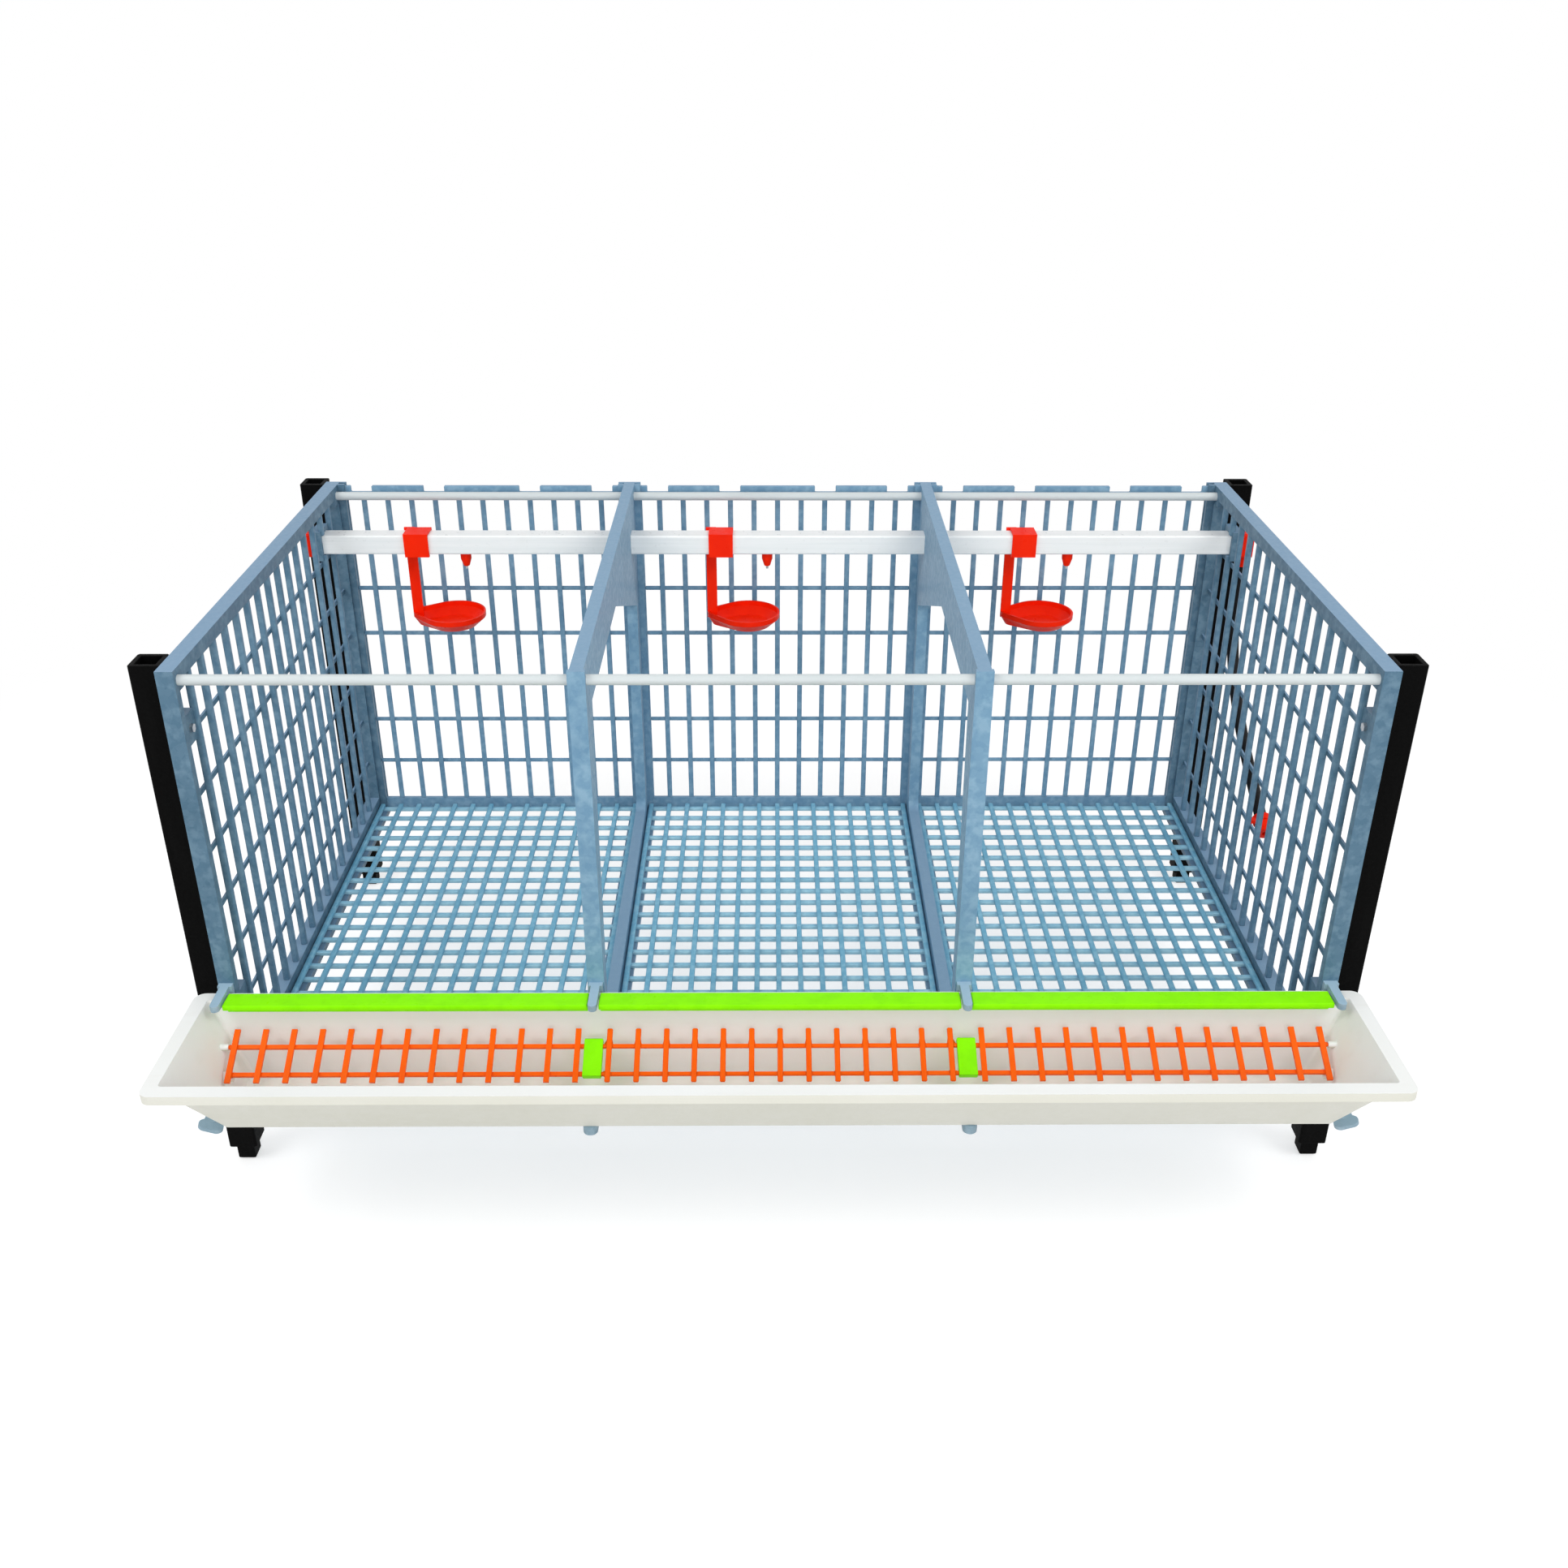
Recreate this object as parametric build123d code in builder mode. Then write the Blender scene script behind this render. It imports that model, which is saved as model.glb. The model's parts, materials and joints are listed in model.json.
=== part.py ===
"""Three-bay poultry cage with a feed trough and cup drinkers.

Millimetres, +X to the right, +Y to the rear, +Z up. The origin is on the ground,
in the middle of the cage's footprint.
"""

import os
from math import asin, cos, radians, sin, tan

from build123d import *

os.makedirs("parts", exist_ok=True)

# Bays and walls
bay_pitch = 312.0  # from one wall or divider to the next
cage_depth = 504.0
wall_height = 378.0  # wall top above the floor surface
floor_height = 114.0  # floor surface above the ground
wall_thickness = 14.0
front_upright = 8.0
rear_upright = 14.0
top_rail = 12.0
sill_rise = 8.0  # bottom rail above the floor surface
ledge_width = 9.0  # carries the floor and back panels
ledge_thickness = 6.0

# Moulded mesh of the walls and back panels
bar_width = 5.4
bar_depth = 2.4
cross_height = 4.5
cross_depth = 2.0
mesh_inset = 4.0
side_columns = 15
side_pitch = 30.15
side_first = 37.0  # first bar, behind the wall's front edge
back_columns = 11
mesh_rows = 6
weld_gap = 0.05  # at each bar's welds

# Dividers
divider_web = 11.0
divider_flange = 14.0
divider_flange_depth = 5.0
divider_foot_depth = 26.0  # front post, at the floor
divider_head_depth = 44.0  # front post, at the top band
divider_rear_depth = 38.0
divider_band = 45.0  # top band, at its shallowest
divider_bend_y = 256.0  # where the top band starts to deepen
divider_gusset = 124.0  # top band, at the rear post
window_corner = 12.0
window_head_corner = 30.0

# Rear channel that takes the back panels
channel_front = 23.0
channel_rear = 23.0
channel_wall = 3.0
corner_lip_front = 7.0
corner_lip_rear = 7.0
panel_fit = 0.3
panel_side_fit = 0.5

# Back panels
panel_edge = 6.0
panel_sill = 5.0
panel_head = 6.0
tab_height = 6.5
tab_drop = 2.5  # below the wall top
tab_long = 78.6
tab_short = 54.0
tab_gap = 22.0

# Floor panels
floor_bar = 4.0  # height of a layer
floor_bar_width = 5.0
floor_lines = 15
floor_crosses = 22
floor_fit = 1.0
floor_front_gap = 6.0
floor_rear_gap = 2.0

# Corner posts
post_size = 25.0
post_edge = 1.5
post_front_set = 11.0  # behind the wall's front edge
post_rear_overhang = 13.0  # past the wall's rear edge
socket_size = 16.4
socket_floor = 12.0
spigot_fit = 0.4
spigot_length = 18.0
spigot_lead = 2.0

# Fasteners
screw_diameter = 3.0
screw_length = 16.0
bracket_screw_length = 12.0
screw_head = 7.5  # across the hexagon's corners
screw_head_height = 2.6
screw_fit = 0.2
head_fit = 0.7
pad_reach = 10.0  # behind the screw
pad_height = 26.0
screw_low = 60.0
screw_high = 320.0

# Tie rods
rod_diameter = 8.6
rod_drop = 10.0  # centre, below the wall top
rod_front_set = 8.0  # centre, behind the wall's front edge
rod_fit = 0.2
rod_seat = 7.0
rod_end_gap = 0.5
rod_end_edge = 0.8
rod_clear = 3.0
rod_boss = 18.0

# Water pipe and its fittings
pipe_size = 20.0
pipe_wall = 2.0
pipe_edge = 2.0
pipe_setback = 65.5  # centre, from the wall's rear edge
pipe_drop = 44.5  # centre, below the wall top
pipe_fit = 0.3
pipe_collar = 5.0
pipe_stub = 4.0  # out of the side walls
fitting_wall = 2.2
fitting_end = 3.0
fitting_grip = 3.5
elbow_length = 13.0
elbow_neck = 13.0
elbow_neck_length = 12.0
water_way = 6.0
water_port = 5.0  # from the pipe into the elbow

# Hose and its connector
hose_diameter = 12.0
connector_diameter = 15.0
connector_collar = 18.0
connector_collar_length = 7.0
connector_length = 20.0
connector_hook = 8.0
connector_hook_wall = 3.0
hook_fit = 0.4
arc_share = 0.45  # of the shorter run beside a bend

# Nipples
nipple_offset = -11.0  # from the middle of the bay
nipple_thread = 7.8
nipple_thread_length = 7.0
nipple_thread_fit = 0.1
nipple_neck = 11.0  # against the pipe
nipple_tip = 6.0
nipple_barrel = 7.0  # straight part below the pipe
nipple_length = 15.0
nipple_bore = 3.4
nipple_chamber = 5.2
nipple_seat = 2.0  # below the pipe
pin_diameter = 2.4
pin_head = 4.6
pin_head_height = 1.2
pin_reach = 3.0  # below the body
pin_gap = 0.05
seal_diameter = 4.4
seal_height = 3.0

# Drinker cups
clip_width = 24.7
clip_offset = -58.5
clip_wall = 2.0
clip_fit = 0.2
clip_catch = 2.0
arm_width = 10.5
arm_depth = 3.0
arm_overhang = 3.5  # left of the clip
cup_radius = 33.0
cup_offset = -31.0
cup_setback = 8.5  # cup centre behind the pipe's centre
cup_tip_radius = 13.0
cup_rise = 254.5  # rim, above the floor surface
cup_rim = 5.0  # upright band round the top
cup_depth = 14.0
cup_foot_radius = 23.0
cup_foot_tip = 9.0
cup_foot_reach = 0.95  # tongue at the foot, of its reach at the rim
cup_wall = 2.0

# Feed trough
trough_overhang = 17.0  # past the side walls' outer faces
trough_gap = 5.7  # rear rim, in front of the walls
trough_width = 137.8
trough_rear_rise = 86.0  # rims, above the floor surface
trough_front_rise = 88.0
trough_bottom_rise = 13.0
trough_end_slope = 38.0  # bottom, in from the rim at each end
trough_bottom_rear = 20.0
trough_bottom_width = 70.0
trough_wall = 3.0
trough_corner = 3.0
rim_width = 6.0
rim_thickness = 2.5
lip_height = 8.0
lip_thickness = 2.5

# Edge strips on the trough's rear rim
strip_width = 18.5
strip_thickness = 3.0
strip_set = 4.5  # in front of the rim's rear edge
strip_leg = 10.0
strip_leg_thickness = 2.0
strip_bead = 2.0
strip_end_fit = 1.0
strip_fit = 0.3

# Trough brackets
bracket_width = 12.0
bracket_spine = 5.0
finger_width = 7.5
finger_length = 31.0
finger_height = 5.6
finger_gap = 0.8
arm_reach = 92.0
arm_height = 8.0
slide_fit = 0.2
lug_length = 20.0  # oval end of the outer arms
lug_depth = 11.0
lug_thickness = 3.5
lug_shift = 2.0  # towards the middle of the cage
lug_tilt = 18.0  # outer end raised
outer_arm_set = 7.0  # outer arms, short of the inner ones
bracket_screw_rise = 45.0

# Feed grille
grille_setback = 37.0  # pivot, in front of the walls
grille_rise = 53.3  # pivot, above the floor surface
grille_slope = 28.6
grille_bars = 13
grille_pitch = 23.8
grille_cross_width = 4.6
grille_cross_depth = 2.5
grille_long_width = 3.4
grille_long_depth = 3.0
grille_spacing = 24.7
grille_rear_overhang = 14.7
grille_front_overhang = 8.2
grille_stub = 2.5  # pivot bar, past the end bars
grille_pin = 3.0
grille_pin_fit = 0.05  # radial
grille_pin_seat = 5.0
grille_boss = 5.6
boss_root = 0.2
grille_end_gap = 0.7
stop_length = 8.0  # ledges on the trough's ends that the grille lies on
stop_width = 8.0
stop_thickness = 3.0
stop_fit = 0.3
grille_clip_width = 15.6
grille_clip_rear = 6.0  # past the pivot bar
grille_clip_front = 2.8  # past the lower bar
grille_clip_depth = 6.0
grille_clip_fit = 0.2
grille_joint_gap = 1.0

# Places that follow from the driving dimensions
rear_post_back = cage_depth + post_rear_overhang
rim_tilt = asin((trough_front_rise - trough_rear_rise) / trough_width)
rim_span = trough_width * cos(rim_tilt)
trough_front = trough_gap + rim_span + lip_height * sin(rim_tilt)
front_y = (trough_front - rear_post_back) / 2
rear_y = front_y + cage_depth
middle_y = (front_y + rear_y) / 2
floor_z = floor_height
wall_top = floor_z + wall_height
ledge_top = floor_z - 2 * floor_bar - weld_gap
wall_foot = ledge_top - ledge_thickness
wall_x = 1.5 * bay_pitch
inner_x = wall_x - wall_thickness / 2
outer_x = wall_x + wall_thickness / 2
divider_x = bay_pitch / 2
trough_length = 2 * (outer_x + trough_overhang)
trough_bottom_length = trough_length - 2 * trough_end_slope

bay_width = inner_x - divider_x - divider_web / 2
outer_bay_x = inner_x - bay_width / 2
bays = {"left": -outer_bay_x, "middle": 0.0, "right": outer_bay_x}
row_pitch = (wall_height - top_rail) / (mesh_rows + 1)
row_heights = [floor_z + row_pitch * (i + 1) for i in range(mesh_rows)]

panel_depth = bar_depth + weld_gap + cross_depth
channel_rear_y = rear_y - channel_wall
panel_front_y = channel_rear_y - panel_fit - panel_depth
channel_front_y = panel_front_y - panel_fit - channel_wall

rod_z = wall_top - rod_drop
rod_front_y = front_y + rod_front_set
rod_rear_y = channel_front_y - rod_clear - rod_diameter / 2
rod_hole = rod_diameter / 2 + rod_fit

pipe_y = rear_y - pipe_setback
pipe_z = wall_top - pipe_drop
pipe_hole = pipe_size + 2 * pipe_fit
pipe_bottom = pipe_z - pipe_size / 2
pipe_end = outer_x + pipe_stub

post_x = outer_x + post_size / 2
post_front_y = front_y + post_front_set + post_size / 2
post_rear_y = rear_y + post_rear_overhang - post_size / 2
screw_heights = [floor_z + screw_low, floor_z + screw_high]
screw_rear_y = (rear_y + post_rear_y - post_size / 2) / 2
screw_seat_x = inner_x + mesh_inset
screw_hole = screw_diameter / 2 + screw_fit / 2


def save(piece, name):
    """Label a finished piece and write it under its own name."""
    piece.part.label = name
    export_step(piece.part, f"parts/{name}.step")


def copy_at(piece, x=0.0, y=0.0, z=0.0):
    """A copy of a piece, moved along the axes."""
    with BuildPart() as copy:
        with Locations((x, y, z)):
            add(piece.part)
    return copy


def mirrored(piece):
    """The left-hand twin of a right-hand piece."""
    with BuildPart() as twin:
        mirror(piece.part, about=Plane.YZ)
    return twin


def upright(y):
    """A plane across the cage at y, seen from the front, with local axes +X and +Z."""
    return Plane(origin=(0, y, 0), x_dir=(1, 0, 0), z_dir=(0, -1, 0))


def block(x_range, y_range, z_range, mode=Mode.ADD):
    """A box between pairs of limits."""
    size = [high - low for low, high in (x_range, y_range, z_range)]
    centre = [(high + low) / 2 for low, high in (x_range, y_range, z_range)]
    with Locations(tuple(centre)):
        Box(*size, mode=mode)


# Side walls: a frame with a two-layer mesh, a floor ledge and a rear channel
opening_front = front_y + front_upright
opening_rear = rear_y - rear_upright
opening_low = floor_z + sill_rise
opening_high = wall_top - top_rail
opening_depth = opening_rear - opening_front
opening_height = opening_high - opening_low
opening_centre = ((opening_front + opening_rear) / 2, (opening_low + opening_high) / 2)
side_places = [front_y + side_first + side_pitch * i for i in range(side_columns)]
pad_rear_y = post_front_y + pad_reach

with BuildPart() as side_wall_right:
    with BuildSketch(Plane.YZ.offset(inner_x)):
        with Locations((middle_y, (wall_top + wall_foot) / 2)):
            Rectangle(cage_depth, wall_top - wall_foot)
        with Locations(opening_centre):
            Rectangle(opening_depth, opening_height, mode=Mode.SUBTRACT)
    extrude(amount=wall_thickness)
    with BuildSketch(Plane.YZ.offset(screw_seat_x)):
        with Locations([(y, opening_centre[1]) for y in side_places]):
            Rectangle(bar_width, opening_height - 2 * weld_gap)
    extrude(amount=bar_depth)
    with BuildSketch(Plane.YZ.offset(screw_seat_x + bar_depth + weld_gap)):
        with Locations([(opening_centre[0], z) for z in row_heights]):
            Rectangle(opening_depth - 2 * weld_gap, cross_height)
    extrude(amount=cross_depth)
    with BuildSketch(Plane.YZ.offset(screw_seat_x)):
        with Locations([((front_y + pad_rear_y) / 2, z) for z in screw_heights]):
            Rectangle(pad_rear_y - front_y, pad_height)
        with Locations((pipe_y, pipe_z)):
            Rectangle(pipe_hole + 2 * pipe_collar, pipe_hole + 2 * pipe_collar)
    extrude(amount=outer_x - screw_seat_x)
    for boss_y_range in (
        (front_y, rod_front_y + rod_boss / 2),
        (rod_rear_y - rod_boss / 2, rod_rear_y + rod_boss / 2),
    ):
        block((inner_x, outer_x), boss_y_range, (rod_z - rod_boss / 2, wall_top))
    weld_x = inner_x - weld_gap
    block(
        (inner_x - ledge_width, weld_x),
        (front_y, channel_front_y - weld_gap),
        (wall_foot, ledge_top),
    )
    block((inner_x - ledge_width, weld_x), (channel_front_y, rear_y), (wall_foot, ledge_top))
    block(
        (inner_x - corner_lip_front, weld_x),
        (channel_front_y, channel_front_y + channel_wall),
        (wall_foot, wall_top),
    )
    block((inner_x - corner_lip_rear, weld_x), (channel_rear_y, rear_y), (wall_foot, wall_top))
    with BuildSketch(Plane.YZ.offset(inner_x)):
        with Locations((rod_front_y, rod_z), (rod_rear_y, rod_z)):
            Circle(rod_hole)
    extrude(amount=rod_seat, mode=Mode.SUBTRACT)
    with BuildSketch(Plane.YZ.offset(inner_x)):
        with Locations((pipe_y, pipe_z)):
            Rectangle(pipe_hole, pipe_hole)
        with Locations([(y, z) for y in (post_front_y, screw_rear_y) for z in screw_heights]):
            Circle(screw_hole)
    extrude(amount=wall_thickness, mode=Mode.SUBTRACT)
    with BuildSketch(Plane.YZ.offset(inner_x)):
        with Locations([(screw_rear_y, z) for z in screw_heights]):
            Circle((screw_head + head_fit) / 2)
    extrude(amount=mesh_inset, mode=Mode.SUBTRACT)
    with BuildSketch(upright(front_y)):
        with Locations((wall_x, floor_z + bracket_screw_rise)):
            Circle(screw_hole)
    extrude(amount=-bracket_screw_length, mode=Mode.SUBTRACT)

save(side_wall_right, "side_wall_right")
save(mirrored(side_wall_right), "side_wall_left")

# Dividers: an open moulded frame whose top band deepens towards the rear
band_low = wall_top - divider_band
gusset_low = wall_top - divider_gusset
divider_rear_y = rear_y - divider_rear_depth
divider_window = [
    (front_y + divider_foot_depth, opening_low),
    (front_y + divider_head_depth, band_low),
    (front_y + divider_bend_y, band_low),
    (divider_rear_y, gusset_low),
    (divider_rear_y, opening_low),
]

with BuildPart() as divider:
    with BuildSketch(Plane.YZ.offset(-divider_web / 2)):
        with Locations((middle_y, (wall_top + wall_foot) / 2)):
            Rectangle(cage_depth, wall_top - wall_foot)
        with BuildSketch(mode=Mode.PRIVATE) as window:
            with BuildLine():
                Polyline(*divider_window, close=True)
            make_face()
            foot_corners = window.vertices().group_by(Axis.Y)[0]
            head_corners = [v for v in window.vertices() if v not in foot_corners]
            fillet(foot_corners, radius=window_corner)
            fillet(head_corners, radius=window_head_corner)
        add(window.sketch, mode=Mode.SUBTRACT)
    extrude(amount=divider_web)
    block(
        (-divider_flange / 2, divider_flange / 2),
        (front_y, front_y + divider_flange_depth),
        (wall_foot, wall_top),
    )
    block(
        (-channel_front / 2, channel_front / 2),
        (channel_front_y, channel_front_y + channel_wall),
        (wall_foot, wall_top),
    )
    block((-channel_rear / 2, channel_rear / 2), (channel_rear_y, rear_y), (wall_foot, wall_top))
    ledge_reach = divider_web / 2 + ledge_width
    block((-ledge_reach, ledge_reach), (front_y, rear_y), (wall_foot, ledge_top))
    with BuildSketch(Plane.YZ.offset(-ledge_reach)):
        with Locations((rod_front_y, rod_z), (rod_rear_y, rod_z)):
            Circle(rod_hole)
        with Locations((pipe_y, pipe_z)):
            Rectangle(pipe_hole, pipe_hole)
    extrude(amount=2 * ledge_reach, mode=Mode.SUBTRACT)
    with BuildSketch(upright(front_y)):
        with Locations((0, floor_z + bracket_screw_rise)):
            Circle(screw_hole)
    extrude(amount=-bracket_screw_length, mode=Mode.SUBTRACT)

save(copy_at(divider, x=-divider_x), "divider_left")
save(copy_at(divider, x=divider_x), "divider_right")

# Back panels: mesh in an edge frame, with a row of tabs along the top
panel_width = bay_width - 2 * panel_side_fit
panel_top = wall_top - tab_drop - tab_height
panel_open_width = panel_width - 2 * panel_edge
panel_open_low = floor_z + panel_sill
panel_open_high = panel_top - panel_head
panel_open_height = panel_open_high - panel_open_low
panel_open_z = (panel_open_high + panel_open_low) / 2
back_pitch = bay_width / (back_columns + 1)
short_tab_x = tab_long / 2 + tab_gap + tab_short / 2
end_tab = panel_width / 2 - short_tab_x - tab_short / 2 - tab_gap
end_tab_x = panel_width / 2 - end_tab / 2

with BuildPart() as back_panel:
    with BuildSketch(upright(panel_front_y)):
        with Locations((0, (panel_top + ledge_top) / 2)):
            Rectangle(panel_width, panel_top - ledge_top)
        with Locations((0, panel_open_z)):
            Rectangle(panel_open_width, panel_open_height, mode=Mode.SUBTRACT)
        with Locations((0, panel_top + tab_height / 2)):
            Rectangle(tab_long, tab_height)
            with Locations((-short_tab_x, 0), (short_tab_x, 0)):
                Rectangle(tab_short, tab_height)
            with Locations((-end_tab_x, 0), (end_tab_x, 0)):
                Rectangle(end_tab, tab_height)
    extrude(amount=-panel_depth)
    with BuildSketch(upright(panel_front_y)):
        with Locations((0, panel_open_z)):
            with GridLocations(back_pitch, 0, back_columns, 1):
                Rectangle(bar_width, panel_open_height - 2 * weld_gap)
    extrude(amount=-bar_depth)
    with BuildSketch(upright(panel_front_y + bar_depth + weld_gap)):
        with Locations([(0, z) for z in row_heights]):
            Rectangle(panel_open_width - 2 * weld_gap, cross_height)
    extrude(amount=-cross_depth)

for bay, x in bays.items():
    save(copy_at(back_panel, x=x), f"back_panel_{bay}")

# Floor panels: line bars welded across a lower layer of cross bars
floor_width = bay_width - 2 * floor_fit
floor_front_y = front_y + floor_front_gap
floor_depth = channel_front_y - floor_rear_gap - floor_front_y
floor_mid_y = floor_front_y + floor_depth / 2
line_pitch = (floor_width - floor_bar_width) / (floor_lines - 1)
cross_pitch = (floor_depth - floor_bar_width) / (floor_crosses - 1)

with BuildPart() as floor_panel:
    with Locations((0, floor_mid_y, floor_z - floor_bar / 2)):
        with GridLocations(line_pitch, 0, floor_lines, 1):
            Box(floor_bar_width, floor_depth, floor_bar)
    with Locations((0, floor_mid_y, ledge_top + floor_bar / 2)):
        with GridLocations(0, cross_pitch, 1, floor_crosses):
            Box(floor_width, floor_bar_width, floor_bar)

for bay, x in bays.items():
    save(copy_at(floor_panel, x=x), f"floor_panel_{bay}")

# Corner posts: square tubes with a stacking socket on top and a spigot below
spigot_size = socket_size - 2 * spigot_fit

with BuildPart() as post_right:
    with BuildSketch(Plane.XY.offset(spigot_length)):
        with Locations((post_x, 0)):
            Rectangle(post_size, post_size)
    extrude(amount=wall_top - spigot_length)
    chamfer(post_right.edges().filter_by(Axis.Z), length=post_edge)
    with BuildSketch(Plane.XY):
        with Locations((post_x, 0)):
            Rectangle(spigot_size, spigot_size)
    extrude(amount=spigot_length)
    chamfer(post_right.faces().sort_by(Axis.Z)[0].edges(), length=spigot_lead)
    with BuildSketch(Plane.XY.offset(wall_top)):
        with Locations((post_x, 0)):
            Rectangle(socket_size, socket_size)
    extrude(amount=spigot_length + socket_floor - wall_top, mode=Mode.SUBTRACT)

for end, y in {"front": post_front_y, "rear": post_rear_y}.items():
    screw_y = {"front": post_front_y, "rear": screw_rear_y}[end]
    with BuildPart() as post:
        with Locations((0, y, 0)):
            add(post_right.part)
        with BuildSketch(Plane.YZ.offset(outer_x)):
            with Locations([(screw_y, z) for z in screw_heights]):
                Circle(screw_hole)
        extrude(amount=post_size / 2, mode=Mode.SUBTRACT)
    save(post, f"post_{end}_right")
    save(mirrored(post), f"post_{end}_left")

# Screws, each with its head at the origin of its own plane
def screw(plane, length):
    """A hexagon-head screw that runs along the plane's normal, with its head behind the plane."""
    with BuildSketch(plane) as shank:
        Circle(screw_diameter / 2)
    extrude(shank.sketch, amount=length)
    with BuildSketch(plane) as head:
        RegularPolygon(screw_head / 2, side_count=6)
    extrude(head.sketch, amount=-screw_head_height)


with BuildPart() as post_screws:
    for side in (-1, 1):
        for y in (post_front_y, screw_rear_y):
            for z in screw_heights:
                screw(Plane(origin=(side * screw_seat_x, y, z), z_dir=(side, 0, 0)), screw_length)
save(post_screws, "post_screws")

with BuildPart() as bracket_screws:
    for x in (-wall_x, -divider_x, divider_x, wall_x):
        seat = (x, front_y - bracket_spine, floor_z + bracket_screw_rise)
        screw(Plane(origin=seat, z_dir=(0, 1, 0)), bracket_screw_length)
save(bracket_screws, "bracket_screws")

# Tie rods across the top, seated in both side walls
rod_length = 2 * (inner_x + rod_seat - rod_end_gap)

for end, y in {"front": rod_front_y, "rear": rod_rear_y}.items():
    with BuildPart() as rod:
        with BuildSketch(Plane.YZ.offset(-rod_length / 2)):
            with Locations((y, rod_z)):
                Circle(rod_diameter / 2)
        extrude(amount=rod_length)
        chamfer(rod.edges().filter_by(GeomType.CIRCLE), length=rod_end_edge)
    save(rod, f"tie_rod_{end}")

# Water pipe: a square tube through the walls and dividers
nipple_xs = {bay: x + nipple_offset for bay, x in bays.items()}
nipple_hole = nipple_thread / 2 + nipple_thread_fit

with BuildPart() as water_pipe:
    with BuildSketch(Plane.YZ.offset(-pipe_end)):
        with Locations((pipe_y, pipe_z)):
            RectangleRounded(pipe_size, pipe_size, pipe_edge)
            bore = pipe_size - 2 * pipe_wall
            Rectangle(bore, bore, mode=Mode.SUBTRACT)
    extrude(amount=2 * pipe_end)
    with BuildSketch(Plane.XY.offset(pipe_bottom)):
        with Locations([(x, pipe_y) for x in nipple_xs.values()]):
            Circle(nipple_hole)
    extrude(amount=pipe_wall, mode=Mode.SUBTRACT)
save(water_pipe, "water_pipe")

fitting_socket = pipe_size + 2 * clip_fit
fitting_size = fitting_socket + 2 * fitting_wall

with BuildPart() as pipe_end_cap:
    with BuildSketch(Plane.YZ.offset(-pipe_end - fitting_end)):
        with Locations((pipe_y, pipe_z)):
            RectangleRounded(fitting_size, fitting_size, pipe_edge)
    extrude(amount=fitting_end + fitting_grip)
    with BuildSketch(Plane.YZ.offset(-pipe_end)):
        with Locations((pipe_y, pipe_z)):
            Rectangle(fitting_socket, fitting_socket)
    extrude(amount=fitting_grip, mode=Mode.SUBTRACT)
save(pipe_end_cap, "pipe_end_cap")

hose_x = pipe_end + fitting_end
neck_top = pipe_z - fitting_size / 2
neck_foot = neck_top - elbow_neck_length

with BuildPart() as hose_elbow:
    with BuildSketch(Plane.YZ.offset(pipe_end - fitting_grip)):
        with Locations((pipe_y, pipe_z)):
            RectangleRounded(fitting_size, fitting_size, pipe_edge)
    extrude(amount=elbow_length)
    with BuildSketch(Plane.XY.offset(neck_foot)):
        with Locations((hose_x, pipe_y)):
            Circle(elbow_neck / 2)
    extrude(amount=elbow_neck_length)
    with BuildSketch(Plane.YZ.offset(pipe_end - fitting_grip)):
        with Locations((pipe_y, pipe_z)):
            Rectangle(fitting_socket, fitting_socket)
    extrude(amount=fitting_grip, mode=Mode.SUBTRACT)
    with BuildSketch(Plane.XY.offset(neck_foot)):
        with Locations((hose_x, pipe_y)):
            Circle(water_way / 2)
    extrude(amount=pipe_z + water_way - neck_foot, mode=Mode.SUBTRACT)
    with BuildSketch(Plane.YZ.offset(pipe_end)):
        with Locations((pipe_y, pipe_z)):
            Circle(water_port / 2)
    extrude(amount=hose_x - pipe_end, mode=Mode.SUBTRACT)
save(hose_elbow, "hose_elbow")

# Hose: hangs outside the right wall, from the elbow to a connector parked on the mesh
hose_drop = [
    (0, 0),
    (0, -45),
    (-18, -98),
    (-62, -140),
    (-118, -174),
    (-178, -202),
]
hose_points = [Vector(hose_x, pipe_y + dy, neck_foot + dz) for dy, dz in hose_drop]


def route_radii(points):
    """The largest tangent arcs that the runs beside each corner have room for."""
    radii = []
    for before, corner, after in zip(points, points[1:], points[2:]):
        turn = (corner - before).get_angle(after - corner)
        shorter = min((corner - before).length, (after - corner).length)
        radii.append(arc_share * shorter / tan(radians(turn) / 2))
    return radii


hose_radii = route_radii(hose_points)
with BuildPart() as hose:
    with BuildLine() as hose_line:
        FilletPolyline(*hose_points, radius=hose_radii)
    with BuildSketch(Plane(origin=hose_points[0], z_dir=hose_line.wire() % 0)) as hose_end:
        Circle(hose_diameter / 2)
    sweep()
save(hose, "hose")
hose_length = hose_line.wire().length
print("hose radii", [round(r) for r in hose_radii], "length", round(hose_length, 1))
print("hose volume ratio", round(hose.part.volume / hose_end.sketch.area / hose_length, 4))

connector_dir = hose_line.wire() % 1
connector_plane = Plane(origin=hose_points[-1], x_dir=(1, 0, 0), z_dir=connector_dir)
hook_y = hose_points[-1].Y + connector_dir.Y * connector_length / 2
connector_z = hose_points[-1].Z + connector_dir.Z * connector_length / 2
hook_rise = cross_height / 2 + hook_fit
hook_low = min(z + hook_rise for z in row_heights if z + hook_rise > connector_z)

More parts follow.
